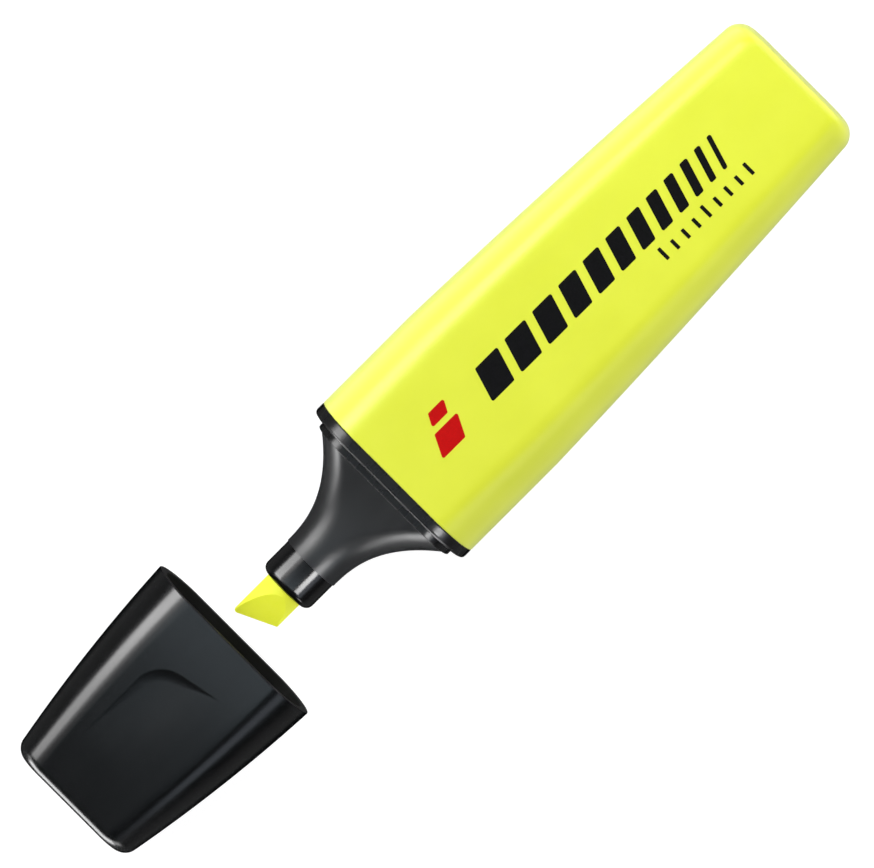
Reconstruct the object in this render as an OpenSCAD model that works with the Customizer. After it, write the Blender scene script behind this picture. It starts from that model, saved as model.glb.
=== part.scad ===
// Chisel-tip highlighter with its cap pulled off, held in line with the nib.
// The row frame has X along the pen towards the barrel's closed end, Y across its width
// and Z up through its thickness, with z = 0 under its lowest point.
// The pen's modules are drawn about the pen's axis, with x = 0 on the collar's front face.
// The cap's modules are drawn about the same axis, with x = 0 at the cap's mouth and
// x growing towards its closed end, and place_cap() turns them to face the nib.

/* [Body] */
// Width of the collar, of the barrel's mouth and of the cap's mouth
body_w = 26.8; // [25.5:0.1:28]
// Thickness of the same three outlines
body_t = 17; // [16.4:0.1:18]
// How far each rounded side of the outline reaches in from the edge
body_side = 6.4; // [5.4:0.1:6.8]
// Wall thickness of the barrel and of the cap
wall = 1.3; // [1.1:0.05:1.4]

/* [Barrel] */
// Length from the collar's back face to the closed end
barrel_l = 73; // [70:0.1:80]
// Length of the straight stretch before the width starts to taper
barrel_straight = 15.7; // [10:0.1:25]
// Width lost on each side over the tapered stretch
barrel_taper_w = 2.8; // [1.5:0.1:3]
// Thickness lost on each side from the mouth to the closed end
barrel_taper_t = 2.6; // [1.5:0.1:2.7]
// Corner radius of the closed end, seen from above
barrel_end_r = 2.4; // [1:0.1:2.6]

/* [Front section] */
// Thickness of the collar that the barrel and the cap meet
collar_t = 1.6; // [1.2:0.1:2.2]
// Width of the plate that the cap's mouth fits over
plate_w = 23.3; // [22:0.1:23.6]
// Thickness of the same plate
plate_t = 14; // [13:0.1:14.2]
// How far the plate stands in front of the collar
plate_h = 1; // [0.6:0.1:1.5]
// Width of the ledge between the flared neck and the plate's edge
ledge = 0.5; // [0.3:0.1:0.8]
// Length from the collar's front face to the end of the flared neck
neck_l = 14.2; // [13.5:0.1:14.3]
// Diameter of the neck at its front end
neck_d = 8.35; // [8.3:0.05:8.8]
// Length of the skirt that plugs into the barrel
skirt_l = 8; // [6:0.1:8]

/* [Nozzle and nib] */
// Diameter of the glossy land that the cap seals on
land_d = 8.1; // [8:0.05:8.2]
// Length of the land
land_l = 4.8; // [4:0.1:5]
// Diameter of the ferrule's shank inside the neck
shank_d = 7; // [6.6:0.1:7.2]
// Diameter of the fibre nib
nib_d = 5.6; // [5:0.1:5.8]
// How far the nib's leading point stands in front of the collar
nib_reach = 25.3; // [24:0.1:25.5]
// Slant of the chisel edge, away from square to the pen
nib_slant = 25.4; // [15:0.1:30]
// Angle of each chisel facet to the pen's axis
nib_facet = 27.4; // [22:0.1:35]
// Thickness of the blunt chisel edge
nib_edge = 1.4; // [0.8:0.1:1.8]

/* [Ink reservoir] */
// Width of the fibre core
core_w = 18.4; // [14:0.1:18.6]
// Thickness of the fibre core
core_t = 8.4; // [7:0.1:8.6]
// Thickness of the film around the core
film_t = 0.2; // [0.1:0.05:0.3]

/* [Cap] */
// Length of the cap
cap_l = 30; // [29.5:0.1:31]
// Corner radius of the closed end, seen from above
cap_end_r = 1.6; // [1.4:0.1:3.4]
// Depth of the thumb recess at its corner
recess_depth = 0.8; // [0.4:0.1:0.9]
// Gap between the collar and the cap's mouth, with the cap pulled off
cap_gap = 28.2; // [0.1:0.1:48]

/* [Hidden] */
$fn = 96;

// Segments in each rounded side of a flat oval
arc_n = 16;
// Clearance between two pieces that are pushed together
fit = 0.05;
// Overlap that makes two solids of one piece join
join = 0.3;

body_a = body_w / 2;
body_b = body_t / 2;
barrel_end = collar_t + barrel_l;
pen_half = (barrel_end + cap_gap + cap_l) / 2;
collar_x = pen_half - barrel_end;
axis_z = body_b;

// ---- outlines and skins ----

// A flat oval across the pen at x: half-width a, half-thickness b, and sides that are
// half-ellipses reaching e in from the edge.
function oval(x, a, b, e) =
    [for (side = [1, -1], i = [0:arc_n])
        let (t = side * (90 - 180 * i / arc_n))
        [x, side * (a - e + e * cos(t)), b * sin(t)]];

// A near-circle of radius r with the same number of points as oval()
function ring(x, r) = oval(x, r, r, r - fit);

// How far a corner of radius r has come in at distance d from the end that it rounds
function corner_in(r, d) = d >= r ? 0 : r - sqrt(r * r - (r - d) * (r - d));

// Distances from an end at which a corner of radius r is drawn, from the end inwards
function corner_steps(r) = [for (t = [0:22.5:90]) r * (1 - cos(t))];

// A list in the opposite order
function backwards(list) = [for (i = [len(list) - 1:-1:0]) list[i]];

// One closed solid through a list of rings, flat across the first and the last.
// Rings run towards +X on an outside wall and towards -X on an inside wall.
module skin(rings) {
    n = len(rings[0]);
    last = len(rings) - 1;
    points = [for (r = rings) each r];
    walls = [for (k = [0:last - 1], i = [0:n - 1])
        let (j = (i + 1) % n, p = k * n, q = p + n)
        each [[p + i, p + j, q + j], [p + i, q + j, q + i]]];
    start = [for (i = [n - 1:-1:0]) i];
    finish = [for (i = [0:n - 1]) last * n + i];
    polyhedron(points, concat([start, finish], walls));
}

// Turns a shape drawn along Z so that its Z runs along -X, from the collar to the nib
module to_nib() {
    rotate([0, -90, 0]) children();
}

// Turns a shape drawn along Z so that its Z runs along +X
module to_back() {
    rotate([0, 90, 0]) children();
}

module place_pen() {
    translate([collar_x, 0, axis_z]) children();
}

module place_cap() {
    translate([collar_x - cap_gap, 0, axis_z]) rotate([0, 0, 180]) children();
}

// ---- barrel ----

// Share of the tapered stretch that lies in front of x
function barrel_share(x) =
    max(0, (x - collar_t - barrel_straight) / (barrel_l - barrel_straight));

// Share of the width's taper that is a straight line; the rest is a curve
taper_line = 0.63;
// How much shorter the rounded sides are at the closed end
side_taper = 2.1;

// Half-width, half-thickness and side length of the barrel's outside at x
function barrel_a(x) =
    let (s = barrel_share(x))
    body_a - barrel_taper_w * (taper_line * s + (1 - taper_line) * s ^ 2);
function barrel_b(x) = body_b - barrel_taper_t * (x - collar_t) / barrel_l;
function barrel_e(x) = body_side - side_taper * (x - collar_t) / barrel_l;

// The barrel's outline at x, moved inwards by d
function barrel_ring(x, d) = oval(x, barrel_a(x) - d, barrel_b(x) - d, barrel_e(x) - d);

// The groove that the skirt snaps into: its place, half-length and depth
snap_x = collar_t + 5;
snap_l = 1;
snap_h = 0.3;
// The snap groove's steps along x, each with its depth into the barrel's wall
snap_steps = [[-snap_l, 0], [-snap_l / 2, snap_h], [snap_l / 2, snap_h], [snap_l, 0]];

end_wall = 1.8;
barrel_floor = barrel_end - end_wall;
// Places along the tapered stretch at which its curve is drawn
stations_n = 7;
station_gap = (barrel_l - barrel_straight) / (stations_n - 0.5);
barrel_stations = [for (i = [0:stations_n - 1]) collar_t + barrel_straight + i * station_gap];

module barrel_wall() {
    inside = concat(
        [for (x = backwards(concat(barrel_stations, [barrel_floor]))) barrel_ring(x, wall)],
        [for (s = backwards(snap_steps)) barrel_ring(snap_x + s[0], wall - s[1])],
        [barrel_ring(collar_t, wall)]);
    outside = concat(
        [barrel_ring(collar_t, 0)],
        [for (x = barrel_stations) barrel_ring(x, 0)],
        [for (d = backwards(corner_steps(barrel_end_r)))
            barrel_ring(barrel_end - d, corner_in(barrel_end_r, d))]);
    skin(concat(inside, outside));
}

// Ribs that hold the reservoir: their thickness, where they start and how far off the middle
// the broad ones stand
rib_t = 1;
rib_x = collar_t + skirt_l + 4;
rib_y = 5;
film_a = core_w / 2 + film_t + fit;
film_b = core_t / 2 + film_t + fit;
stop_l = 3;
core_end = barrel_floor - stop_l;

// A rib from the reservoir's broad face to the barrel's wall
module broad_rib() {
    outline = [
        [rib_x, film_b],
        [core_end, film_b],
        [core_end, barrel_b(core_end) - wall + join],
        [rib_x, barrel_b(rib_x) - wall + join]];
    rotate([90, 0, 0]) linear_extrude(rib_t, center = true) polygon(outline);
}

// A rib from the reservoir's edge to the barrel's wall
module edge_rib() {
    steps = [for (i = [0:4]) core_end + (rib_x - core_end) * i / 4];
    outline = concat(
        [[rib_x, film_a], [core_end, film_a]],
        [for (x = steps) [x, barrel_a(x) - wall + join]]);
    linear_extrude(rib_t, center = true) polygon(outline);
}

// Crosswise stop that keeps the reservoir off the closed end
module reservoir_stop() {
    stop_t = 2 * (barrel_b(core_end) - wall + join);
    translate([core_end + fit, -rib_t / 2, -stop_t / 2])
        cube([barrel_floor - core_end + join, rib_t, stop_t]);
}

module barrel() {
    color([0.9, 0.95, 0.16]) place_pen() {
        barrel_wall();
        for (side = [-1, 1], y = [-rib_y, rib_y])
            translate([0, y, 0]) rotate([90 - side * 90, 0, 0]) broad_rib();
        for (turn = [0, 180])
            rotate([turn, 0, 0]) edge_rib();
        reservoir_stop();
    }
}

// ---- front section ----

// How far the neck still has to close at distance s in front of the collar, from 1 to 0
function flare_share(s) = (neck_l - s) / (neck_l - plate_h);

// How sharply the flare opens towards the plate, across the width and through the thickness
flare_power_w = 2.4;
flare_power_t = 2;
// How much longer the flare's rounded sides are at the plate
flare_side = 0.45;
flare_n = 12;

function flare_a(s) = neck_d / 2 + (plate_w / 2 - ledge - neck_d / 2) * flare_share(s) ^ flare_power_w;
function flare_b(s) = neck_d / 2 + (plate_t / 2 - ledge - neck_d / 2) * flare_share(s) ^ flare_power_t;
function flare_e(s) = neck_d / 2 - fit + flare_side * flare_share(s);

collar_edge = 0.5;
skirt_end = collar_t + skirt_l;
skirt_wall = 1;
skirt_lead = 0.4;
// Inside of the flare: how far forward it is hollow, and its wall
hollow_s = 2;
flare_wall = 1.4;
// Boss behind the neck that the ferrule's shank and the nib pass through
boss_r = 4.7;
boss_end = skirt_end + 0.1;
// How far behind the collar's front face the ferrule's seat ends
seat_end = 4;

// The skirt's outline at x, moved inwards by d from the barrel's inside
function skirt_ring(x, d) = barrel_ring(x, wall + fit + d);

module front_section_body() {
    flare = [for (i = [0:flare_n])
        let (s = neck_l + (plate_h - neck_l) * i / flare_n)
        oval(-s, flare_a(s), flare_b(s), flare_e(s))];
    plate = [for (x = [-plate_h, 0]) oval(x, plate_w / 2, plate_t / 2, flare_e(plate_h))];
    collar = concat(
        [for (d = corner_steps(collar_edge)) let (in = corner_in(collar_edge, d))
            oval(d, body_a - in, body_b - in, body_side - in)],
        [barrel_ring(collar_t, 0)]);
    skirt = concat(
        [skirt_ring(collar_t, 0)],
        [for (s = snap_steps) skirt_ring(snap_x + s[0], -s[1])],
        [skirt_ring(skirt_end - skirt_lead, 0), skirt_ring(skirt_end, skirt_lead)],
        [skirt_ring(skirt_end, skirt_wall)]);
    inside = [
        skirt_ring(collar_t, skirt_wall),
        oval(0, plate_w / 2 - flare_wall, plate_t / 2 - flare_wall, flare_e(plate_h) - flare_wall),
        oval(-hollow_s, flare_a(hollow_s) - flare_wall, flare_b(hollow_s) - flare_wall,
             flare_e(hollow_s) - flare_wall)];
    boss = [ring(-hollow_s, boss_r), ring(boss_end, boss_r)];
    skin(concat(flare, plate, collar, skirt, inside, boss));
}

module front_section() {
    nib_way_r = nib_d / 2 + 0.2;
    color([0.2, 0.21, 0.22]) place_pen() difference() {
        front_section_body();
        to_nib() translate([0, 0, -seat_end]) cylinder(d = shank_d + fit, h = neck_l + seat_end + 1);
        to_back() cylinder(r = nib_way_r, h = boss_end + 1);
    }
}

// ---- nozzle and nib ----

land_end = neck_l + land_l;
land_edge = 1.1;
nib_bore_r = nib_d / 2 + fit;

module nozzle_ferrule() {
    land_r = land_d / 2;
    mouth = 0.3;
    edge = [for (t = [0:15:90])
        [land_r - land_edge + land_edge * cos(t), land_end - land_edge + land_edge * sin(t)]];
    profile = concat(
        [[nib_bore_r, -seat_end], [shank_d / 2, -seat_end], [shank_d / 2, neck_l], [land_r, neck_l]],
        edge,
        [[nib_bore_r, land_end], [nib_bore_r, land_end - mouth]]);
    color([0.07, 0.07, 0.08]) place_pen() to_nib() rotate_extrude() polygon(profile);
}

// The nib's pointed tail, which feeds it from the reservoir: where it ends, its length and the
// radius of its end
nib_tail = 14;
tail_l = 2.5;
tail_r = 1.2;
// Distance of the nib's leading point from the pen's middle, across the width
point_y = 2.35;

// The half-space in front of, or outside, one face of the chisel: the face passes through
// the middle of the edge, z away from the pen's middle plane, and leans back by lean.
module chisel_cut(z, lean) {
    reach = 30;
    edge_x = -nib_reach + point_y * tan(nib_slant);
    translate([edge_x, 0, z]) rotate([0, 0, nib_slant]) rotate([0, lean, 0])
        translate([-reach, -reach / 2, 0]) cube([2 * reach, reach, reach]);
}

module nib() {
    color([0.93, 0.95, 0.1]) place_pen() difference() {
        to_nib() {
            translate([0, 0, tail_l - nib_tail]) cylinder(d = nib_d, h = nib_tail - tail_l + nib_reach + 1);
            translate([0, 0, -nib_tail]) cylinder(r1 = tail_r, r2 = nib_d / 2, h = tail_l);
        }
        chisel_cut(0, -90);
        for (turn = [0, 1])
            mirror([0, 0, turn]) chisel_cut(nib_edge / 2, -nib_facet);
    }
}

// ---- ink reservoir ----

core_x = boss_end + 0.1;

// A flat oval prism from x = core_x to core_end, larger by d all round
module core_prism(d) {
    b = core_t / 2 + d;
    straight = core_w - core_t;
    translate([core_x, 0, 0]) to_back() linear_extrude(core_end - core_x) {
        square([2 * b, straight], center = true);
        for (side = [-1, 1])
            translate([0, side * straight / 2]) circle(r = b);
    }
}

module reservoir_core() {
    color([0.88, 0.9, 0.35]) place_pen() difference() {
        core_prism(0);
        to_back() {
            cylinder(r = nib_bore_r, h = nib_tail - tail_l);
            translate([0, 0, nib_tail - tail_l]) cylinder(r1 = nib_bore_r, r2 = tail_r, h = tail_l + fit);
        }
    }
}

module reservoir_film() {
    color([0.95, 0.97, 0.8]) place_pen() difference() {
        core_prism(film_t);
        translate([-1, 0, 0]) core_prism(0);
        translate([1, 0, 0]) core_prism(0);
    }
}

// ---- cap ----

// How the cap narrows away from its mouth: a straight taper, a bow across the width and a bow
// through the thickness, and the shortening of its rounded sides
cap_taper = 0.0495;
cap_bow_w = 0.00232;
cap_bow_t = 0.00265;
cap_side_taper = 0.08;

// Half-width, half-thickness and side length of the cap's outside at distance u from its mouth
function cap_a(u) = body_a - cap_taper * u - cap_bow_w * u ^ 2;
function cap_b(u) = body_b - cap_taper * u - cap_bow_t * u ^ 2;
function cap_e(u) = body_side - cap_side_taper * u;

cap_end_wall = 1.5;
cap_floor = cap_l - cap_end_wall;
// Radius of the closed end's edges beside the broad faces, and of the mouth's outer edge
cap_edge_r = 1.25;
mouth_edge = 0.3;
// How far the cavity is narrowed at the closed end, and over what length
floor_in = 1;
floor_taper = 2.5;
cap_stations = [3:3:24];

// The cap's outside near its closed end, d before it
function cap_end_ring(d) =
    let (u = cap_l - d, side_in = corner_in(cap_end_r, d))
    oval(u, cap_a(u) - side_in, cap_b(u) - corner_in(cap_edge_r, d), cap_e(u) - 0.4 * side_in);

module cap_wall() {
    taper_u = cap_floor - floor_taper;
    inside = concat(
        [oval(cap_floor, cap_a(cap_floor) - wall - floor_in, cap_b(cap_floor) - wall,
              cap_e(cap_floor) - wall)],
        [for (u = backwards([mouth_edge, each cap_stations, taper_u]))
            oval(u, cap_a(u) - wall, cap_b(u) - wall, cap_e(u) - wall)],
        [oval(0, cap_a(0) - wall + mouth_edge, cap_b(0) - wall + mouth_edge, cap_e(0) - wall + mouth_edge)]);
    outside = concat(
        [for (d = corner_steps(mouth_edge)) let (in = corner_in(mouth_edge, d))
            oval(d, cap_a(d) - in, cap_b(d) - in, cap_e(d) - in)],
        [for (u = cap_stations) oval(u, cap_a(u), cap_b(u), cap_e(u))],
        [for (t = [90:-10:0]) cap_end_ring(cap_end_r * (1 - cos(t)))]);
    skin(concat(inside, outside));
}

// The thumb recess has a long arm beside the pen's middle, a round corner and a short arm
// that crosses over: nearest point of the corner to the mouth, the long arm's distance from
// the middle, the corner's radius, and the short arm's lean and reach past the corner.
recess_u = 7.4;
recess_v = 5;
recess_r = 3.6;
recess_lean = 1.2;
recess_arm = 5.8;
// Where the recess stops being visible, and how its floor slopes along and across the cap
recess_end = 23;
recess_slope_u = 3.7;
recess_slope_v = 5.7;

// What one thumb recess takes away: its floor is lowest inside the corner and comes up to the
// surface towards the closed end and across the cap.
module thumb_recess() {
    centre = [recess_u + recess_r, recess_r - recess_v];
    corner = [for (t = [270:-15:180]) centre + recess_r * [cos(t), sin(t)]];
    arm_tip = [recess_u - recess_lean, centre[1] + recess_arm];
    outline = concat(
        [[recess_end, -recess_v]],
        corner,
        [arm_tip, [arm_tip[0], arm_tip[1] + recess_lean], [recess_end, arm_tip[1] + recess_lean]]);
    lowest = [recess_u + 0.6, 1.5 - recess_v, 0];
    translate(lowest + [0, 0, cap_b(lowest[0]) - recess_depth])
        rotate([recess_slope_v, recess_slope_u, 0])
        translate(-lowest)
        linear_extrude(4) polygon(outline);
}

// The seal: where it starts, where it steps down from the land to the nib's room, where it ends
// and its wall
seal_front = 14.4;
seal_step = 20;
seal_back = 28;
seal_wall = 0.75;
seal_r = land_d / 2 + fit;
nib_gap = 0.3;
nib_room_r = nib_d / 2 + nib_gap;
socket_r = nib_room_r + seal_wall + fit;
socket_front = seal_step + 1;
socket_wall = 0.8;

// Tube at the closed end that grips the seal's narrow end
module seal_socket() {
    to_back() translate([0, 0, socket_front]) difference() {
        cylinder(r = socket_r + socket_wall, h = cap_floor - socket_front + join);
        translate([0, 0, -1]) cylinder(r = socket_r, h = cap_floor - socket_front + 1);
    }
}

module cap_shell() {
    color([0.16, 0.17, 0.18]) place_cap() {
        difference() {
            cap_wall();
            for (turn = [0, 180])
                rotate([turn, 0, 0]) thumb_recess();
        }
        seal_socket();
    }
}

module cap_seal() {
    lead_in = 0.4;
    outside_r = seal_r + seal_wall;
    narrow_r = nib_room_r + seal_wall;
    profile = [
        [seal_r + lead_in, seal_front],
        [outside_r, seal_front],
        [outside_r, seal_step],
        [narrow_r, socket_front],
        [narrow_r, seal_back - 1],
        [narrow_r - 1, seal_back],
        [0, seal_back],
        [0, seal_back - seal_wall],
        [nib_room_r - 0.8, seal_back - seal_wall],
        [nib_room_r, seal_back - seal_wall - 0.8],
        [nib_room_r, seal_step + 0.2],
        [seal_r, seal_step - 0.8],
        [seal_r, seal_front + lead_in]];
    color([0.3, 0.31, 0.33]) place_cap() to_back() rotate_extrude() polygon(profile);
}

barrel();
front_section();
nozzle_ferrule();
nib();
reservoir_core();
reservoir_film();
cap_shell();
cap_seal();
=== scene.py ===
import math

import bmesh
import bpy
from mathutils import Matrix, Vector


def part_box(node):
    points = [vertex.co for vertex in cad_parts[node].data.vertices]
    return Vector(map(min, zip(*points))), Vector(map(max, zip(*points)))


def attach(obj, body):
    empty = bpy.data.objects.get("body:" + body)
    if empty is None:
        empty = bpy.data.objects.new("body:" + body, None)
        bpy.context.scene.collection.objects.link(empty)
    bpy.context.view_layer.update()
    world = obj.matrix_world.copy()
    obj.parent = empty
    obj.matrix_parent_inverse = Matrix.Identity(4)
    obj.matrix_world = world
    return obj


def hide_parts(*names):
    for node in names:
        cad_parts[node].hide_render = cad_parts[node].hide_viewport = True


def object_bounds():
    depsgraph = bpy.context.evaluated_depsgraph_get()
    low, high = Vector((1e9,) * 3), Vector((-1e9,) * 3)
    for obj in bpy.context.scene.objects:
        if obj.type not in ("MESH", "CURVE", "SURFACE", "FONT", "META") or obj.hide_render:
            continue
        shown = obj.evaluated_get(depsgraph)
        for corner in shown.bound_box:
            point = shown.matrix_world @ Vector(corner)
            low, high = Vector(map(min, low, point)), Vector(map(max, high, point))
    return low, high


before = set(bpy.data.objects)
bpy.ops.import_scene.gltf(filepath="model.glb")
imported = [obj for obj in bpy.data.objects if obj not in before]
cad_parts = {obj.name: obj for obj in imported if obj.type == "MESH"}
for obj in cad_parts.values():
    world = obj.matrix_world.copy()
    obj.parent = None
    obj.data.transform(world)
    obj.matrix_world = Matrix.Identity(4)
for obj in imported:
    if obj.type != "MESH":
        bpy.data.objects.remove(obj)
cad_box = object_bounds()

# ---- dimensions ----
# Lengths are in millimetres about the pen's axis, as in the CAD: x runs from the collar's front
# face towards the barrel's closed end, y across the width and z up through the thickness. The
# cap's own length u runs from its mouth towards its closed end. place() turns them into metres
# in the row frame.

MM = 0.001


def node_box(name):
    """A CAD node's lowest and highest corners, in millimetres."""
    low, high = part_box(name)
    return low / MM, high / MM


barrel_low, barrel_high = node_box("barrel")
section_low = node_box("front_section")[0]
ferrule_low, ferrule_high = node_box("nozzle_ferrule")
nib_low, nib_high = node_box("nib")
cap_low, cap_high = node_box("cap_shell")
seal_low, seal_high = node_box("cap_seal")

COLLAR_T = 1.6
COLLAR_X = barrel_low.x - COLLAR_T
AXIS_Z = (barrel_low.z + barrel_high.z) / 2
BODY_A = (barrel_high.y - barrel_low.y) / 2
BODY_B = (barrel_high.z - barrel_low.z) / 2
BODY_SIDE = 6.4
WALL = 1.3
FIT = 0.05
BARREL_L = barrel_high.x - barrel_low.x
BARREL_END = COLLAR_T + BARREL_L
NECK_L = COLLAR_X - section_low.x
LAND_END = COLLAR_X - ferrule_low.x
LAND_R = (ferrule_high.y - ferrule_low.y) / 2
NIB_REACH = COLLAR_X - nib_low.x
NIB_R = (nib_high.y - nib_low.y) / 2
CAP_L = cap_high.x - cap_low.x


def place(x, y, z):
    """A point about the pen's axis, in millimetres, as a point of the row frame in metres."""
    return Vector(((COLLAR_X + x) * MM, y * MM, (AXIS_Z + z) * MM))


def place_cap(u, y, z):
    """The same for a point of the cap, u from its mouth."""
    return Vector(((cap_high.x - u) * MM, y * MM, (AXIS_Z + z) * MM))


# ---- outlines ----

SIDE_STEPS = 40


def oval(a, b, e, flat_steps=1, side_steps=SIDE_STEPS):
    """A flat oval as (y, z) points: half-width a, half-thickness b, and sides that are
    half-ellipses reaching e in from the edge. The two flats have flat_steps segments each."""
    points = []
    for side in (1, -1):
        for i in range(side_steps + 1):
            t = side * math.radians(90 - 180 * i / side_steps)
            points.append((side * (a - e + e * math.cos(t)), b * math.sin(t)))
        for i in range(1, flat_steps):
            y = side * (a - e) * (1 - 2 * i / flat_steps)
            points.append((y, -side * b))
    return points


def inset(r, d):
    """How far a rounded edge of radius r has come in at distance d from its end."""
    return 0.0 if d >= r else r - math.sqrt(r * r - (r - d) ** 2)


# A ring this far past a rounded edge keeps the stretch beyond it flat where it is shaded smooth.
SUPPORT = 0.04


def edge_steps(r, count=8):
    """Distances from an end at which a rounded edge of radius r is drawn, nearest first."""
    return [r * (1 - math.cos(math.pi / 2 * i / count)) for i in range(count + 1)] + [r + SUPPORT]


def spread(start, stop, step):
    """Evenly spaced values from start to stop, about step apart, both ends included."""
    count = max(1, round(abs(stop - start) / step))
    return [start + (stop - start) * i / count for i in range(count + 1)]


def clamp(t):
    return min(1.0, max(0.0, t))


def eased(t):
    """t from 0 to 1 with a level start and end."""
    t = clamp(t)
    return t * t * (3 - 2 * t)


# ---- meshes ----

def make_object(name, mesh, sharp=35):
    """An object of the mesh, shaded smooth except across edges sharper than the angle given."""
    for polygon in mesh.polygons:
        polygon.use_smooth = True
    mesh.set_sharp_from_angle(angle=math.radians(sharp))
    obj = bpy.data.objects.new(name, mesh)
    bpy.context.scene.collection.objects.link(obj)
    return obj


def loft(name, rings):
    """One closed solid through rings of points in metres, flat across the first and the last."""
    count = len(rings[0])
    verts = [p for ring in rings for p in ring]
    faces = []
    for k in range(len(rings) - 1):
        for i in range(count):
            j = (i + 1) % count
            faces.append((k * count + i, k * count + j, (k + 1) * count + j, (k + 1) * count + i))
    faces.append(tuple(range(count)))
    faces.append(tuple((len(rings) - 1) * count + i for i in range(count)))
    mesh = bpy.data.meshes.new(name)
    mesh.from_pydata(verts, [], faces)
    tidy = bmesh.new()
    tidy.from_mesh(mesh)
    bmesh.ops.recalc_face_normals(tidy, faces=tidy.faces)
    tidy.to_mesh(mesh)
    tidy.free()
    return make_object(name, mesh)


ROUND_STEPS = 96


def revolve(name, profile, put):
    """A solid of revolution about the pen's axis. profile is a closed list of (radius, along)
    in millimetres, and put turns (along, y, z) into a point of the row frame."""
    on_axis = [r < 1e-6 for r, _ in profile]
    mesh = bpy.data.meshes.new(name)
    build = bmesh.new()
    columns = []
    for k in range(ROUND_STEPS):
        t = 2 * math.pi * k / ROUND_STEPS
        column = []
        for i, (r, along) in enumerate(profile):
            if on_axis[i] and k > 0:
                column.append(columns[0][i])
            else:
                column.append(build.verts.new(put(along, r * math.cos(t), r * math.sin(t))))
        columns.append(column)
    for k in range(ROUND_STEPS):
        near, far = columns[k], columns[(k + 1) % ROUND_STEPS]
        for i in range(len(profile)):
            j = (i + 1) % len(profile)
            corners = []
            for v in (near[i], near[j], far[j], far[i]):
                if v not in corners:
                    corners.append(v)
            if len(corners) > 2:
                build.faces.new(corners)
    bmesh.ops.recalc_face_normals(build, faces=build.faces)
    build.to_mesh(mesh)
    build.free()
    return make_object(name, mesh)


# ---- materials ----

class Nodes:
    """A short way to build one material's node tree around its Principled shader."""

    def __init__(self, name):
        self.material = bpy.data.materials.new(name)
        self.material.use_nodes = True
        self.tree = self.material.node_tree
        self.shader = self.tree.nodes["Principled BSDF"]
        self.coords = self.add("ShaderNodeTexCoord").outputs["Object"]

    def add(self, kind, **values):
        """A node of that kind, with its properties and the sockets named in values set."""
        node = self.tree.nodes.new(kind)
        for key, value in values.items():
            if hasattr(node, key):
                setattr(node, key, value)
            else:
                node.inputs[key.replace("_", " ")].default_value = value
        return node

    def link(self, source, target):
        self.tree.links.new(source, target)

    def set(self, **values):
        for key, value in values.items():
            self.shader.inputs[key.replace("_", " ")].default_value = value

    def scaled(self, sx, sy, sz):
        """The object's coordinates, scaled along each axis."""
        mapping = self.add("ShaderNodeMapping")
        mapping.inputs["Scale"].default_value = (sx, sy, sz)
        self.link(self.coords, mapping.inputs["Vector"])
        return mapping.outputs["Vector"]

    def noise(self, size_mm, detail=3.0, stretch=(1, 1, 1), roughness=0.55):
        """Noise whose features are about size_mm across; stretch shrinks them along an axis."""
        node = self.add("ShaderNodeTexNoise")
        node.inputs["Scale"].default_value = 1.0 / (size_mm * MM)
        node.inputs["Detail"].default_value = detail
        node.inputs["Roughness"].default_value = roughness
        self.link(self.scaled(*stretch), node.inputs["Vector"])
        return node.outputs["Fac"]

    def ranged(self, source, from_low, from_high, to_low, to_high):
        node = self.add("ShaderNodeMapRange")
        node.inputs["From Min"].default_value = from_low
        node.inputs["From Max"].default_value = from_high
        node.inputs["To Min"].default_value = to_low
        node.inputs["To Max"].default_value = to_high
        self.link(source, node.inputs["Value"])
        return node.outputs["Result"]

    def math(self, operation, a, b):
        """a and b are sockets, or b is a number."""
        node = self.add("ShaderNodeMath", operation=operation)
        self.link(a, node.inputs[0])
        if isinstance(b, (int, float)):
            node.inputs[1].default_value = b
        else:
            self.link(b, node.inputs[1])
        return node.outputs[0]

    def along_x(self, x_mm, soft_mm=0.02):
        """0 in front of x, about the pen's axis, and 1 behind it."""
        split = self.add("ShaderNodeSeparateXYZ")
        self.link(self.coords, split.inputs["Vector"])
        edge = (COLLAR_X + x_mm) * MM
        return self.ranged(split.outputs["X"], edge - soft_mm * MM, edge + soft_mm * MM, 0, 1)

    def mix(self, fac, a, b):
        """A blend of two colour sockets."""
        node = self.add("ShaderNodeMix", data_type="RGBA")
        self.link(fac, node.inputs["Factor"])
        self.link(a, node.inputs[6])
        self.link(b, node.inputs[7])
        return node.outputs[2]

    def colours(self, fac, low, high):
        """A blend from one colour to another, as fac goes from 0 to 1."""
        ramp = self.add("ShaderNodeValToRGB")
        ramp.color_ramp.elements[0].color = (*low, 1)
        ramp.color_ramp.elements[1].color = (*high, 1)
        self.link(fac, ramp.inputs["Fac"])
        return ramp.outputs["Color"]

    def bump(self, height, distance_mm, after=None):
        """A bump of that height in millimetres, on top of an earlier one if after is given."""
        node = self.add("ShaderNodeBump")
        node.inputs["Strength"].default_value = 1.0
        node.inputs["Distance"].default_value = distance_mm * MM
        self.link(height, node.inputs["Height"])
        if after is not None:
            self.link(after, node.inputs["Normal"])
        return node.outputs["Normal"]


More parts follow.
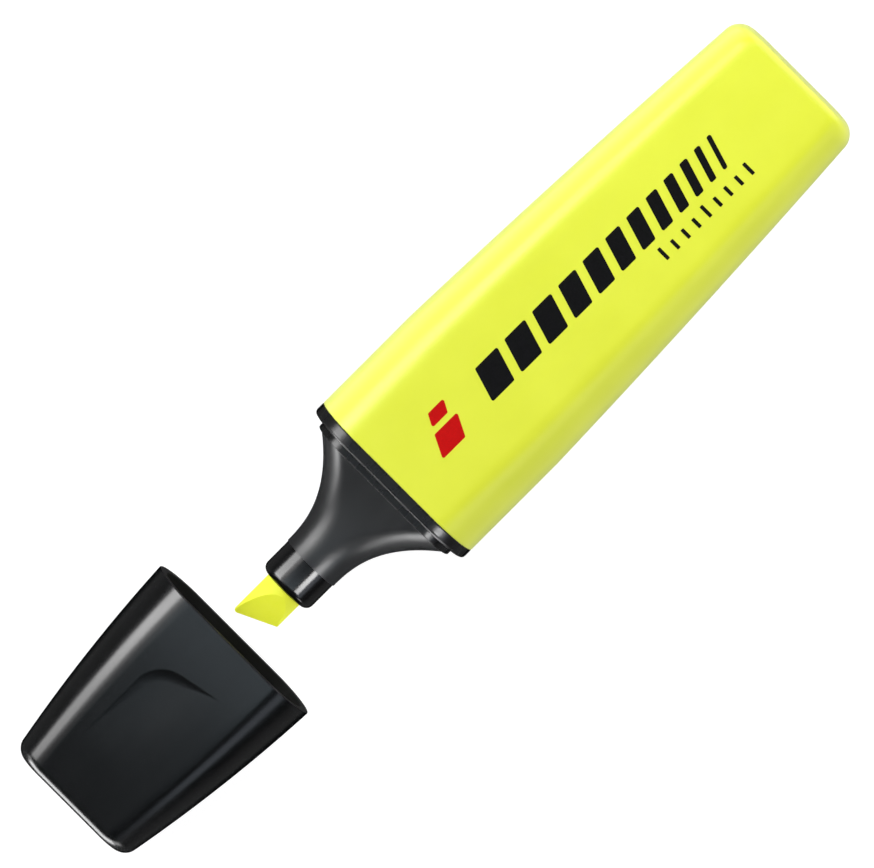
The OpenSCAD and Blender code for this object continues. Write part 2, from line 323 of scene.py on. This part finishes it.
def moulded(name, low, high, rough, rough_spread=0.05, grain_mm=0.35, grain_height=0.0016,
            scuff_height=0.0008):
    """Moulded plastic: slow colour drift, a fine mould grain, and roughness that varies with
    handling marks and fine scuffs along the pen."""
    n = Nodes(name)
    drift = n.noise(9.0, detail=2.0)
    n.link(n.colours(n.ranged(drift, 0.35, 0.65, 0, 1), low, high), n.shader.inputs["Base Color"])
    grain = n.noise(grain_mm, detail=4.0)
    scuffs = n.noise(2.4, detail=3.0, stretch=(0.3, 1.5, 1.5), roughness=0.5)
    handled = n.math("ADD", n.ranged(scuffs, 0.35, 0.7, 0, rough_spread),
                     n.ranged(drift, 0.3, 0.7, 0, rough_spread * 0.6))
    n.link(n.math("ADD", handled, rough), n.shader.inputs["Roughness"])
    fine = n.bump(grain, grain_height)
    n.link(n.bump(scuffs, scuff_height, after=fine), n.shader.inputs["Normal"])
    return n


PLASTIC_IOR = 1.6


def barrel_material():
    n = moulded("barrel_yellow", (0.735, 0.80, 0.034), (0.765, 0.83, 0.040), rough=0.30,
                grain_mm=0.5, grain_height=0.0012)
    # Painted glow: a faint yellow emission lightens the barrel everywhere, shaded sides too, standing in
    # for fluorescence and fill light.
    n.set(IOR=PLASTIC_IOR, Emission_Color=(0.66, 0.72, 0.02, 1), Emission_Strength=0.04)
    n.set(Sheen_Weight=0.38, Sheen_Roughness=0.45, Sheen_Tint=(0.9, 0.95, 1.0, 1))
    return n.material


def section_material():
    """Satin on the neck, polished black on the plate and the collar."""
    n = moulded("section_black", (0.0105, 0.011, 0.012), (0.013, 0.0136, 0.0146), rough=0.33,
                grain_mm=0.4, grain_height=0.0010)
    collar = n.along_x(-PLATE_H - 0.03)
    satin = n.shader.inputs["Base Color"].links[0].from_socket
    polished = n.colours(n.noise(4.0), (0.003, 0.003, 0.0032), (0.004, 0.004, 0.0043))
    n.link(n.mix(collar, satin, polished), n.shader.inputs["Base Color"])
    satin_rough = n.shader.inputs["Roughness"].links[0].from_socket
    n.link(n.math("SUBTRACT", satin_rough, n.ranged(collar, 0, 1, 0, 0.09)),
           n.shader.inputs["Roughness"])
    n.set(IOR=PLASTIC_IOR)
    return n.material


def ferrule_material():
    n = moulded("ferrule_black", (0.0035, 0.0035, 0.0037), (0.0045, 0.0045, 0.0048), rough=0.16,
                rough_spread=0.03, grain_mm=0.6, grain_height=0.0006, scuff_height=0.0004)
    n.set(IOR=PLASTIC_IOR)
    return n.material


def cap_material():
    n = moulded("cap_black", (0.0014, 0.0017, 0.0019), (0.0020, 0.0024, 0.0027), rough=0.22,
                rough_spread=0.03, grain_mm=0.3, grain_height=0.0016, scuff_height=0.0003)
    n.set(IOR=PLASTIC_IOR)
    return n.material


def cap_inside_material():
    """The cap's inside and its rim, left dull by the mould."""
    n = moulded("cap_inside", (0.011, 0.0112, 0.0116), (0.014, 0.0142, 0.0147), rough=0.55,
                grain_mm=0.2, grain_height=0.004)
    n.set(Specular_IOR_Level=0.25)
    return n.material


def seal_material():
    n = moulded("seal_grey", (0.02, 0.021, 0.022), (0.03, 0.031, 0.033), rough=0.42,
                grain_mm=0.5, grain_height=0.002)
    return n.material


def fibre_material(name, low, high, fibre_mm, height, glow):
    """Bonded fibre: fine strands along the pen, unevenly soaked with fluorescent ink. glow is a painted
    glow, an emission that lightens the fibre even where no light falls.
    """
    n = Nodes(name)
    strands = n.noise(fibre_mm, detail=6.0, stretch=(0.06, 1, 1), roughness=0.7)
    soak = n.noise(1.6, detail=3.0)
    both = n.math("ADD", n.math("MULTIPLY", strands, 0.6), n.math("MULTIPLY", soak, 0.4))
    n.link(n.colours(n.ranged(both, 0.38, 0.62, 0, 1), low, high), n.shader.inputs["Base Color"])
    n.link(n.ranged(strands, 0.3, 0.7, 0.55, 0.8), n.shader.inputs["Roughness"])
    n.link(n.bump(strands, height), n.shader.inputs["Normal"])
    # Painted glow: the emission brightens the fibre under any light, in place of fluorescence and of
    # light on the chisel's facets.
    n.set(Emission_Color=(0.85, 0.9, 0.03, 1), Emission_Strength=glow)
    return n.material


def film_material():
    n = moulded("film_clear", (0.62, 0.66, 0.30), (0.68, 0.72, 0.36), rough=0.2, grain_mm=1.5,
                grain_height=0.02)
    return n.material


def print_material(name, low, high):
    """Pad-printed ink: slightly uneven cover."""
    n = Nodes(name)
    cover = n.noise(0.25, detail=5.0, roughness=0.65)
    n.link(n.colours(n.ranged(cover, 0.35, 0.65, 0, 1), low, high), n.shader.inputs["Base Color"])
    n.link(n.ranged(cover, 0.3, 0.7, 0.40, 0.52), n.shader.inputs["Roughness"])
    n.link(n.bump(cover, 0.002), n.shader.inputs["Normal"])
    n.set(Specular_IOR_Level=0.12)
    return n.material


def finish_piece(obj, material, slot, body, *nodes):
    """Gives a piece its material and body, and hides the CAD nodes that it stands for. slot is not used.
    """
    obj.data.materials.append(material)
    if nodes:
        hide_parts(*nodes)
    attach(obj, body)
    return obj


# ---- barrel ----

BARREL_STRAIGHT = 15.7
BARREL_TAPER_W = 2.8
BARREL_TAPER_T = 2.6
BARREL_SIDE_TAPER = 2.1
BARREL_PLAN_R = 2.4
BARREL_EDGE_R = 1.1
BARREL_END_WALL = 1.8


def barrel_outline(x, d=0.0, plan=0.0):
    """Half-width, half-thickness and side of the barrel at x, moved in by d, and by plan more
    across the width."""
    share = max(0.0, (x - COLLAR_T - BARREL_STRAIGHT) / (BARREL_L - BARREL_STRAIGHT))
    along = (x - COLLAR_T) / BARREL_L
    a = BODY_A - BARREL_TAPER_W * (0.63 * share + 0.37 * share * share)
    b = BODY_B - BARREL_TAPER_T * along
    e = BODY_SIDE - BARREL_SIDE_TAPER * along
    return a - d - plan, b - d, e - d - plan * 0.5


def barrel_top(x):
    return barrel_outline(x)[1]


def make_barrel():
    lip = 0.15
    floor_x = BARREL_END - BARREL_END_WALL
    rings = []

    def ring(x, d=0.0, plan=0.0):
        rings.append([place(x, y, z) for y, z in oval(*barrel_outline(x, d, plan))])

    for x in spread(floor_x, COLLAR_T + lip, 6):
        ring(x, WALL)
    ring(COLLAR_T, WALL - FIT)
    for d in edge_steps(lip, 4):
        ring(COLLAR_T + d, inset(lip, d))
    for x in spread(COLLAR_T + lip + SUPPORT, BARREL_END - BARREL_PLAN_R - SUPPORT, 1.2)[1:]:
        ring(x)
    for d in reversed(edge_steps(BARREL_PLAN_R, 16)[:-1]):
        x = BARREL_END - d
        edge = inset(BARREL_EDGE_R, d)
        ring(x, edge, inset(BARREL_PLAN_R, d) - edge)
    return loft("barrel_body", rings)


# ---- front section ----

PLATE_A, PLATE_B, PLATE_H = 11.65, 7.0, 1.0
LEDGE = 0.5
NECK_R = 4.175
SECTION_BORE_R = 3.52
SHANK_R = 3.5
SEAT_END = 4
SKIRT_END = COLLAR_T + 8
SKIRT_WALL = 1
BOSS_R = 4.7
BOSS_START = 0.6
# What oval() needs less than the radius to draw a circle.
CIRCLE_SIDE = 0.02


def flare_outline(s):
    """Half-width, half-thickness and side of the neck at distance s in front of the collar."""
    share = max(0.0, (NECK_L - s) / (NECK_L - PLATE_H))
    a = NECK_R + (PLATE_A - LEDGE - NECK_R) * share ** 2.4
    b = NECK_R + (PLATE_B - LEDGE - NECK_R) * share ** 2
    return a, b, min(a - 0.01, NECK_R - CIRCLE_SIDE + 0.45 * share)


def circle(r):
    return r, r, r - CIRCLE_SIDE


def make_front_section():
    tip_edge = 0.03
    plate_edge = 0.2
    collar_edge = 0.5
    back_edge = 0.15
    rings = []

    def ring(x, outline, d=0.0):
        a, b, e = outline
        rings.append([place(x, y, z) for y, z in oval(a - d, b - d, e - d)])

    bore = circle(SECTION_BORE_R)
    ring(SEAT_END, bore)
    ring(-NECK_L, bore)
    for d in edge_steps(tip_edge, 2):
        ring(-NECK_L + d, circle(NECK_R), inset(tip_edge, d))
    for s in spread(NECK_L - 0.1, PLATE_H + 0.1, 0.3):
        ring(-s, flare_outline(s))
    ring(-PLATE_H, flare_outline(PLATE_H))
    plate = (PLATE_A, PLATE_B, NECK_R + 0.43)
    for d in edge_steps(plate_edge, 4):
        ring(-PLATE_H + d, plate, inset(plate_edge, d))
    ring(0, plate)
    body = (BODY_A, BODY_B, BODY_SIDE)
    for d in edge_steps(collar_edge, 6):
        ring(d, body, inset(collar_edge, d))
    for d in reversed(edge_steps(back_edge, 4)):
        ring(COLLAR_T - d, body, inset(back_edge, d))
    for x in spread(COLLAR_T, SKIRT_END, 2):
        ring(x, barrel_outline(x, WALL + FIT))
    ring(SKIRT_END, barrel_outline(SKIRT_END, WALL + SKIRT_WALL))
    ring(BOSS_START, barrel_outline(COLLAR_T, WALL + SKIRT_WALL + 0.6))
    boss = circle(BOSS_R)
    ring(BOSS_START, boss)
    ring(SKIRT_END, boss)
    ring(SKIRT_END, bore)
    rings.append(rings[0])
    return loft("section_body", rings)


# ---- ferrule and nib ----

def make_ferrule():
    edge = 1.05
    lip = 0.25
    bore = NIB_R + FIT
    back = SEAT_END - 0.1
    arc = [(LAND_R - edge + edge * math.cos(t), -LAND_END + edge - edge * math.sin(t))
           for t in [math.radians(90 * i / 12) for i in range(13)]]
    profile = [(bore, back), (SHANK_R, back), (SHANK_R, -NECK_L), (LAND_R, -NECK_L)]
    profile += arc
    profile += [(bore + lip, -LAND_END), (bore, -LAND_END + lip)]
    return revolve("ferrule_body", profile, place)


NIB_SLANT = 25.4
NIB_FACET = 27.4
NIB_EDGE = 1.4
NIB_POINT_Y = 2.35
NIB_TIP_R = 0.45
NIB_TIP_CUTS = 5
NIB_TAIL = 14


def make_nib():
    """A fibre rod cut by the slanted chisel: one blunt front face, two leaning facets and a
    rounded leading tip."""
    build = bmesh.new()
    turns = [2 * math.pi * k / ROUND_STEPS for k in range(ROUND_STEPS)]
    columns = []
    for x in spread(NIB_TAIL, -NIB_REACH - 1, 0.6):
        columns.append([build.verts.new(place(x, NIB_R * math.cos(t), NIB_R * math.sin(t)))
                        for t in turns])
    for near, far in zip(columns, columns[1:]):
        for k in range(ROUND_STEPS):
            j = (k + 1) % ROUND_STEPS
            build.faces.new((near[k], near[j], far[j], far[k]))
    build.faces.new(columns[0])
    build.faces.new(columns[-1])
    slant = math.radians(NIB_SLANT)
    lean = math.radians(NIB_FACET)
    ahead = Vector((-math.cos(slant), -math.sin(slant), 0))
    edge_x = -NIB_REACH + NIB_POINT_Y * math.tan(slant)
    cuts = [(place(edge_x, 0, 0), ahead)]
    for side in (1, -1):
        normal = Vector((0, 0, side)) * math.cos(lean) + ahead * math.sin(lean)
        cuts.append((place(edge_x, 0, side * NIB_EDGE / 2), normal))
    centre_y = NIB_R - NIB_TIP_R
    centre_x = edge_x + (NIB_TIP_R - centre_y * math.sin(slant)) / math.cos(slant)
    for i in range(1, NIB_TIP_CUTS + 1):
        turn = math.radians(90 + NIB_SLANT) * i / (NIB_TIP_CUTS + 1)
        normal = Vector((-math.cos(slant - turn), -math.sin(slant - turn), 0))
        cuts.append((place(centre_x, centre_y, 0) + normal * NIB_TIP_R * MM, normal))
    for point, normal in cuts:
        geometry = build.verts[:] + build.edges[:] + build.faces[:]
        cut = bmesh.ops.bisect_plane(build, geom=geometry, plane_co=point, plane_no=normal,
                                     clear_outer=True)
        rim = [g for g in cut["geom_cut"] if isinstance(g, bmesh.types.BMEdge)]
        bmesh.ops.contextual_create(build, geom=rim)
    bmesh.ops.recalc_face_normals(build, faces=build.faces)
    mesh = bpy.data.meshes.new("nib_body")
    build.to_mesh(mesh)
    build.free()
    obj = make_object("nib_body", mesh, sharp=20)
    bevel = obj.modifiers.new("worn_edges", "BEVEL")
    bevel.width = 0.12 * MM
    bevel.segments = 3
    bevel.limit_method = "ANGLE"
    bevel.angle_limit = math.radians(20)
    return obj


# ---- cap ----

CAP_PLAN_R = 1.6
CAP_EDGE_R = 1.25
CAP_FLOOR = CAP_L - 1.5

# The thumb recess, on the cap's broad face: y is across the cap, positive on the long arm's side.
# A scooped wall, steepest at the recess's edge, drops to a floor that rises towards both ends.
RECESS_U = 7.42
RECESS_Y = 5.2
RECESS_R = 3.5
RECESS_LEAN = math.atan(0.2)
RECESS_WALL_SLOPE = 0.29
RECESS_DEPTH = 0.24
RECESS_DEEP_U = 9.0
RECESS_END_U = 22.8
RECESS_DEEP_Y = 3.0
RECESS_TIP_Y = -4.5


def cap_outline(u, d=0.0, plan=0.0):
    a = BODY_A - 0.0495 * u - 0.00232 * u * u
    b = BODY_B - 0.0495 * u - 0.00265 * u * u
    e = BODY_SIDE - 0.08 * u
    return a - d - plan, b - d, e - d - 0.4 * plan


def recess(u, y):
    """Depth of the thumb recess at a point of the cap's broad face."""
    from_long_arm = RECESS_Y - y
    short_arm_u = RECESS_U - (RECESS_Y - RECESS_R - y) * math.tan(RECESS_LEAN)
    from_short_arm = (u - short_arm_u) * math.cos(RECESS_LEAN)
    p, q = RECESS_R - from_long_arm, RECESS_R - from_short_arm
    inside = RECESS_R - (math.hypot(p, q) if p > 0 and q > 0 else max(p, q))
    along = eased((RECESS_END_U - u) / (RECESS_END_U - RECESS_DEEP_U))
    across = eased((y - RECESS_TIP_Y) / (RECESS_DEEP_Y - RECESS_TIP_Y))
    floor = RECESS_DEPTH * along * across
    drop = RECESS_WALL_SLOPE * max(0.0, inside)
    return floor if drop >= 2 * floor else drop - drop * drop / (4 * floor)


def make_cap():
    """The cap's shell, made from the floor of its cavity out to the mouth and back over the
    outside, with a duller inside."""
    flat_steps = 150
    side_steps = 32
    lip = 0.12
    fine_u, coarse_u, plain_u = 5.0, 12.0, 24.0
    rings = []

    def ring(u, outline, recessed=False):
        points = oval(*outline, flat_steps, side_steps)
        placed = []
        for y, z in points:
            if recessed:
                side = 1 if z > 0 else -1
                on_flat = abs(y) < outline[0] - outline[2] + 0.5
                z -= side * recess(u, side * y) if on_flat else 0.0
            placed.append(place_cap(u, y, z))
        rings.append(placed)

    a, b, e = cap_outline(CAP_FLOOR, WALL)
    ring(CAP_FLOOR, (a - 1, b, e - 0.5))
    for u in spread(CAP_FLOOR - 2.5, lip, 3):
        ring(u, cap_outline(u, WALL))
    for d in reversed(edge_steps(lip, 4)[:-1]):
        ring(d, cap_outline(d, WALL - inset(lip, d)))
    inner_rings = len(rings)
    for d in edge_steps(lip, 4):
        ring(d, cap_outline(d, inset(lip, d)))
    for start, stop, step in ((lip + SUPPORT, fine_u, 0.6), (fine_u, coarse_u, 0.1),
                              (coarse_u, plain_u, 0.4)):
        for u in spread(start, stop, step)[1:]:
            ring(u, cap_outline(u), recessed=True)
    for u in spread(plain_u, CAP_L - CAP_PLAN_R - SUPPORT, 0.5)[1:]:
        ring(u, cap_outline(u))
    for d in reversed(edge_steps(CAP_PLAN_R, 24)[:-1]):
        edge = inset(CAP_EDGE_R, d)
        ring(CAP_L - d, cap_outline(CAP_L - d, edge, inset(CAP_PLAN_R, d) - edge))
    cap = loft("cap_body", rings)
    finish_piece(cap, cap_material(), "cap_black", "cap", "cap_shell")
    cap.data.materials.append(cap_inside_material())
    ring_faces = len(rings[0])
    floor_face = (len(rings) - 1) * ring_faces
    for polygon in cap.data.polygons:
        inside = polygon.index < inner_rings * ring_faces or polygon.index == floor_face
        polygon.material_index = 1 if inside else 0
    return cap


def make_cap_liner():
    """The inner cap that seals on the land."""
    front = cap_high.x - seal_high.x
    back = cap_high.x - seal_low.x
    seal_r = LAND_R + FIT
    outer_r = (seal_high.y - seal_low.y) / 2
    wall = outer_r - seal_r
    room_r = NIB_R + 0.3
    narrow_r = room_r + wall
    step = 20
    profile = [
        (seal_r + 0.35, front), (seal_r + 0.45, front), (outer_r - 0.1, front),
        (outer_r, front + 0.1),
        (outer_r, step), (narrow_r, step + 1), (narrow_r, back - 1), (narrow_r - 0.3, back - 0.3),
        (narrow_r - 1, back), (0, back), (0, back - wall), (room_r - 0.8, back - wall),
        (room_r, back - wall - 0.8), (room_r, step + 0.2), (seal_r, step - 0.8), (seal_r, front + 0.4)]
    return revolve("cap_liner", profile, place_cap)


# ---- print on the barrel ----

INK_LIFT = 0.006
INK_T = 0.012


def print_patch(name, outlines, material, slot):
    """Thin ink shapes on the barrel's upper broad face. Each outline is a list of (x, y)."""
    build = bmesh.new()
    for outline in outlines:
        low = [build.verts.new(place(x, y, barrel_top(x) + INK_LIFT)) for x, y in outline]
        high = [build.verts.new(place(x, y, barrel_top(x) + INK_LIFT + INK_T)) for x, y in outline]
        build.faces.new(high)
        build.faces.new(list(reversed(low)))
        for i in range(len(outline)):
            j = (i + 1) % len(outline)
            build.faces.new((low[i], low[j], high[j], high[i]))
    bmesh.ops.recalc_face_normals(build, faces=build.faces)
    mesh = bpy.data.meshes.new(name)
    build.to_mesh(mesh)
    build.free()
    obj = make_object(name, mesh, sharp=30)
    return finish_piece(obj, material, slot, "pen")


def rounded(corners, r, steps=5):
    """A polygon's outline with its corners rounded to radius r."""
    points = []
    count = len(corners)
    for i, corner in enumerate(corners):
        here = Vector(corner)
        before = (Vector(corners[i - 1]) - here).normalized()
        after = (Vector(corners[(i + 1) % count]) - here).normalized()
        half = before.angle(after) / 2
        start = here + before * r / math.tan(half)
        stop = here + after * r / math.tan(half)
        centre = here + (before + after).normalized() * r / math.sin(half)
        a, b = start - centre, stop - centre
        turn = a.angle_signed(b)
        for k in range(steps + 1):
            t = -turn * k / steps
            points.append(tuple(centre + Vector((a.x * math.cos(t) - a.y * math.sin(t),
                                                 a.x * math.sin(t) + a.y * math.cos(t)))))
    return points


def stroke(x0, x1, y0, y1, lean, r=0.25):
    """A bar from x0 to x1 and y0 to y1 whose ends slant by lean, as a chisel nib leaves them."""
    return rounded([(x0, y0), (x1 - lean, y0), (x1, y1), (x0 + lean, y1)], r)


PRINT_START = 17.6
PRINT_BARS = 12
PRINT_WIDEST = 4.0
PRINT_NARROWEST = 0.7
PRINT_GAP = 1.3
PRINT_LEAN = 1.4
PRINT_LOW, PRINT_HIGH = -1.9, 2.7
TICK_START = 46.2
TICK_STEP = 1.92
TICKS = 9


def make_print():
    """Slanted bars of falling width, a row of ticks under their end, and a red mark in the shape
    of a chisel nib."""
    black = print_material("print_black", (0.003, 0.003, 0.0034), (0.006, 0.006, 0.007))
    red = print_material("print_red", (0.50, 0.001, 0.001), (0.58, 0.002, 0.002))
    bars = []
    x = PRINT_START
    for i in range(PRINT_BARS):
        width = PRINT_WIDEST + (PRINT_NARROWEST - PRINT_WIDEST) * i / (PRINT_BARS - 1)
        bars.append(stroke(x, x + width + PRINT_LEAN, PRINT_LOW, PRINT_HIGH, PRINT_LEAN))
        x += width + PRINT_GAP
    ticks = []
    for i in range(TICKS):
        x = TICK_START + TICK_STEP * i
        ticks.append(stroke(x, x + 0.5, -4.9, -3.4 if i % 4 else -3.0, 0.0, r=0.1))
    print_patch("print_strokes", bars + ticks, black, "print_black")
    chisel = [stroke(7.9, 13.5, -2.6, 0.4, 1.5), stroke(9.8, 13.5, 1.2, 2.9, 0.9)]
    print_patch("print_chisel_mark", chisel, red, "print_red")


barrel = finish_piece(make_barrel(), barrel_material(), "barrel_yellow", "pen", "barrel")
section = finish_piece(make_front_section(), section_material(), "section_black", "pen", "front_section")
ferrule = finish_piece(make_ferrule(), ferrule_material(), "ferrule_black", "pen", "nozzle_ferrule")
# The nib's glow of 0.19 is painted light. It lightens the fibre whatever the lamps do. The core's is 0.
nib_fibre = fibre_material("nib_fibre", (0.80, 0.85, 0.03), (0.90, 0.94, 0.05), 0.12, 0.012, 0.19)
finish_piece(make_nib(), nib_fibre, "nib_fibre", "pen", "nib")
cap = make_cap()
finish_piece(make_cap_liner(), seal_material(), "seal_grey", "cap", "cap_seal")
make_print()

core_fibre = fibre_material("core_fibre", (0.5, 0.52, 0.1), (0.7, 0.72, 0.2), 0.2, 0.04, 0.0)
for node, material in (("reservoir_core", core_fibre), ("reservoir_film", film_material())):
    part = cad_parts[node]
    part.data.materials.clear()
    part.data.materials.append(material)

# ---- floor, backdrop, lights and camera ----

STAGE_R = 4.0
CARD_R = 1.0
# How much of the room a card hides from the pieces that it doesn't light.
CARD_COVER = 0.05


def glowing_white(name, albedo, glow):
    material = bpy.data.materials.new(name)
    material.use_nodes = True
    shader = material.node_tree.nodes["Principled BSDF"]
    shader.inputs["Base Color"].default_value = (albedo, albedo, albedo, 1)
    shader.inputs["Roughness"].default_value = 0.9
    shader.inputs["Specular IOR Level"].default_value = 0.0
    shader.inputs["Emission Color"].default_value = (1, 1, 1, 1)
    shader.inputs["Emission Strength"].default_value = glow
    return material


def stage_piece(name, verts, faces, material):
    mesh = bpy.data.meshes.new(name)
    mesh.from_pydata(verts, [], faces)
    mesh.materials.append(material)
    piece = bpy.data.objects.new(name, mesh)
    bpy.context.scene.collection.objects.link(piece)
    piece.visible_glossy = False
    return piece


def make_stage():
    """A pale floor, and a pale dome behind it that only the camera sees."""
    r = STAGE_R
    stage_piece("floor", [(-r, -r, 0), (r, -r, 0), (r, r, 0), (-r, r, 0)], [(0, 1, 2, 3)],
                glowing_white("floor_white", 0.25, 0.92))
    build = bmesh.new()
    bmesh.ops.create_uvsphere(build, u_segments=48, v_segments=24, radius=r * 0.98)
    mesh_verts = [v.co.copy() for v in build.verts]
    mesh_faces = [[v.index for v in f.verts] for f in build.faces]
    build.free()
    dome = stage_piece("backdrop", mesh_verts, mesh_faces, glowing_white("backdrop_white", 0.0, 0.92))
    dome.visible_diffuse = False
    dome.visible_shadow = False


def gloss_card(name, radiance, azimuth, spread_angle, low, high, cover=1.0):
    """A glowing card that stands round the object and shows only in its gloss. The angles are in
    degrees, the azimuth from +X towards +Y and low and high from the horizon. cover is how much
    of the room behind it the card hides."""
    steps = 12
    verts = []
    for i in range(steps + 1):
        t = math.radians(azimuth + spread_angle * (i / steps - 0.5))
        for elevation in (low, high):
            verts.append(Vector((math.cos(t), math.sin(t), math.tan(math.radians(elevation)))) * CARD_R)
    faces = [(2 * i, 2 * i + 1, 2 * i + 3, 2 * i + 2) for i in range(steps)]
    material = glowing_white(name, 0.0, radiance / cover)
    material.node_tree.nodes["Principled BSDF"].inputs["Alpha"].default_value = cover
    material.cycles.emission_sampling = "NONE"
    card = stage_piece(name, verts, faces, material)
    card.visible_glossy = True
    card.visible_camera = False
    card.visible_diffuse = False
    card.visible_shadow = False
    return card


def soft_box(name, radiance, direction, distance, width, height, glossy=True, diffuse=True,
             tint=(1, 1, 1), target=None):
    """A soft box seen from the object, or from target, along direction, facing it. width runs
    along X. One that isn't glossy only fills in, and shows in no reflection."""
    light = bpy.data.lights.new(name, "AREA")
    light.shape = "RECTANGLE"
    light.size = width
    light.size_y = height
    light.color = tint
    light.energy = radiance * math.pi * width * height
    lamp = bpy.data.objects.new(name, light)
    back = Vector(direction).normalized()
    along = Vector((1, 0, 0))
    side = (along - back * back.dot(along)).normalized()
    turned = Matrix((side, back.cross(side), back)).transposed().to_4x4()
    centre = target or (cad_box[0] + cad_box[1]) / 2
    lamp.matrix_world = Matrix.Translation(centre + back * distance) @ turned
    lamp.visible_camera = False
    lamp.visible_glossy = glossy
    lamp.visible_diffuse = diffuse
    bpy.context.scene.collection.objects.link(lamp)
    return lamp


def only_on(lamp, *pieces):
    """Keeps a light off everything but the pieces, as a studio's flags do."""
    receivers = bpy.data.collections.new(lamp.name + "_pieces")
    for piece in pieces:
        receivers.objects.link(piece)
    lamp.light_linking.receiver_collection = receivers


def towards(across, along=0.0):
    """A direction turned from straight up by across degrees towards +Y and by along degrees
    towards +X."""
    return Vector((math.tan(math.radians(along)), math.tan(math.radians(across)), 1.0))


def make_world():
    """A dim room: nearly dark above the horizon, with the floor's own glow below it. Each stop is
    a height on the sphere of directions and the glow there."""
    world = bpy.data.worlds.new("studio")
    world.use_nodes = True
    tree = world.node_tree
    split = tree.nodes.new("ShaderNodeSeparateXYZ")
    height = tree.nodes.new("ShaderNodeMapRange")
    height.inputs["From Min"].default_value = -1.0
    ramp = tree.nodes.new("ShaderNodeValToRGB")
    stops = [(-1.0, 0.0), (-0.85, 0.0), (-0.7, 0.13), (-0.2, 0.13), (-0.02, 0.02), (0.2, 0.02),
             (0.5, 0.025)]
    while len(ramp.color_ramp.elements) < len(stops):
        ramp.color_ramp.elements.new(0.5)
    for element, (z, glow) in zip(ramp.color_ramp.elements, stops):
        element.position = (z + 1) / 2
        element.color = (glow, glow, glow, 1)
    tree.links.new(tree.nodes.new("ShaderNodeTexCoord").outputs["Generated"], split.inputs["Vector"])
    tree.links.new(split.outputs["Z"], height.inputs["Value"])
    tree.links.new(height.outputs["Result"], ramp.inputs["Fac"])
    tree.links.new(ramp.outputs["Color"], tree.nodes["Background"].inputs["Color"])
    bpy.context.scene.world = world


def make_lights():
    """A big soft box on the +Y side and a weak one on the other for the long highlights, a narrow
    one overhead for the sheen on the flats, fills without a reflection, and cards for the edges."""
    soft_box("main_box", 5.2, towards(55, -23), 0.7, 0.60, 0.38)
    soft_box("main_core", 5.0, towards(55, -26), 0.7, 0.12, 0.38, diffuse=False)
    soft_box("main_edge", 1.7, towards(34, -17), 0.7, 0.5, 0.2, diffuse=False)
    soft_box("main_tail", 0.45, towards(17, -25), 0.7, 0.34, 0.22, diffuse=False)
    soft_box("top_box", 1.75, towards(0, -13.2), 0.8, 0.085, 0.75, tint=(0.76, 0.9, 1.0))
    soft_box("top_tail", 0.17, towards(-2, -24), 0.8, 0.2, 0.7, diffuse=False, tint=(0.76, 0.9, 1.0))
    soft_box("low_box", 1.0, towards(-57, -22), 0.8, 0.45, 0.3, tint=(0.8, 0.88, 1.0))
    land_strip = soft_box("land_strip", 15.0, towards(-40.5, -7.5), 0.22, 0.035, 0.07,
                          target=place(-14, 0, 0))
    only_on(land_strip, ferrule)
    neck_strip = soft_box("neck_strip", 24.0, towards(-42, -7.5), 0.22, 0.035, 0.08,
                          target=place(-11, 0, 0))
    only_on(neck_strip, section)
    soft_box("room_box", 0.60, towards(15), 1.2, 1.5, 1.5, glossy=False)
    soft_box("side_fill", 1.8, towards(-66, 20), 0.9, 1.0, 0.6, glossy=False)
    soft_box("back_fill", 5.5, towards(20, 45), 0.26, 0.14, 0.14, glossy=False,
             target=place(BARREL_END, 0, 0))
    soft_box("end_fill", 1.6, (1, 0, 0.25), 0.5, 0.3, 0.4, glossy=False)
    for name, radiance, azimuth, spread_angle, low, high in (
            ("cap_end_card", 10.0, 181, 58, -18, 10),
            ("left_card", 3.6, 222, 24, -8, 13),
            ("right_card", 3.0, 143, 18, -8, 13)):
        card = gloss_card(name, radiance, azimuth, spread_angle, low, high, cover=CARD_COVER)
        only_on(card, cap, section, ferrule)
    gloss_card("barrel_end_card", 2.0, 5, 70, -30, 25)
    only_on(gloss_card("barrel_side_card", 1.9, 90, 70, -42, 16, cover=CARD_COVER), barrel)
    make_world()


PEN_ANGLE = 45.0
CAMERA_TILT = 4.3
CAMERA_LENS = 600
SENSOR = 36
VIEW_W = 112.3
AIM_FROM_COLLAR = 9.06
AIM_Y = 0.23


def make_camera():
    """Nearly straight above the pen, leaning towards the barrel's closed end, and rolled so that
    the pen runs up to the right."""
    data = bpy.data.cameras.new("camera")
    data.sensor_width = SENSOR
    data.lens = CAMERA_LENS
    data.clip_end = 20
    camera = bpy.data.objects.new("camera", data)
    tilt, roll = math.radians(CAMERA_TILT), math.radians(PEN_ANGLE)
    back = Vector((math.sin(tilt), 0, math.cos(tilt)))
    along = Vector((math.cos(tilt), 0, -math.sin(tilt)))
    across = Vector((0, 1, 0))
    right = along * math.cos(roll) - across * math.sin(roll)
    up = along * math.sin(roll) + across * math.cos(roll)
    distance = VIEW_W * MM * CAMERA_LENS / SENSOR
    target = place(AIM_FROM_COLLAR, AIM_Y, 0)
    turned = Matrix((right, up, back)).transposed().to_4x4()
    camera.matrix_world = Matrix.Translation(target + back * distance) @ turned
    bpy.context.scene.collection.objects.link(camera)
    bpy.context.scene.camera = camera


make_stage()
make_lights()
make_camera()
bpy.context.scene.view_settings.view_transform = "Standard"
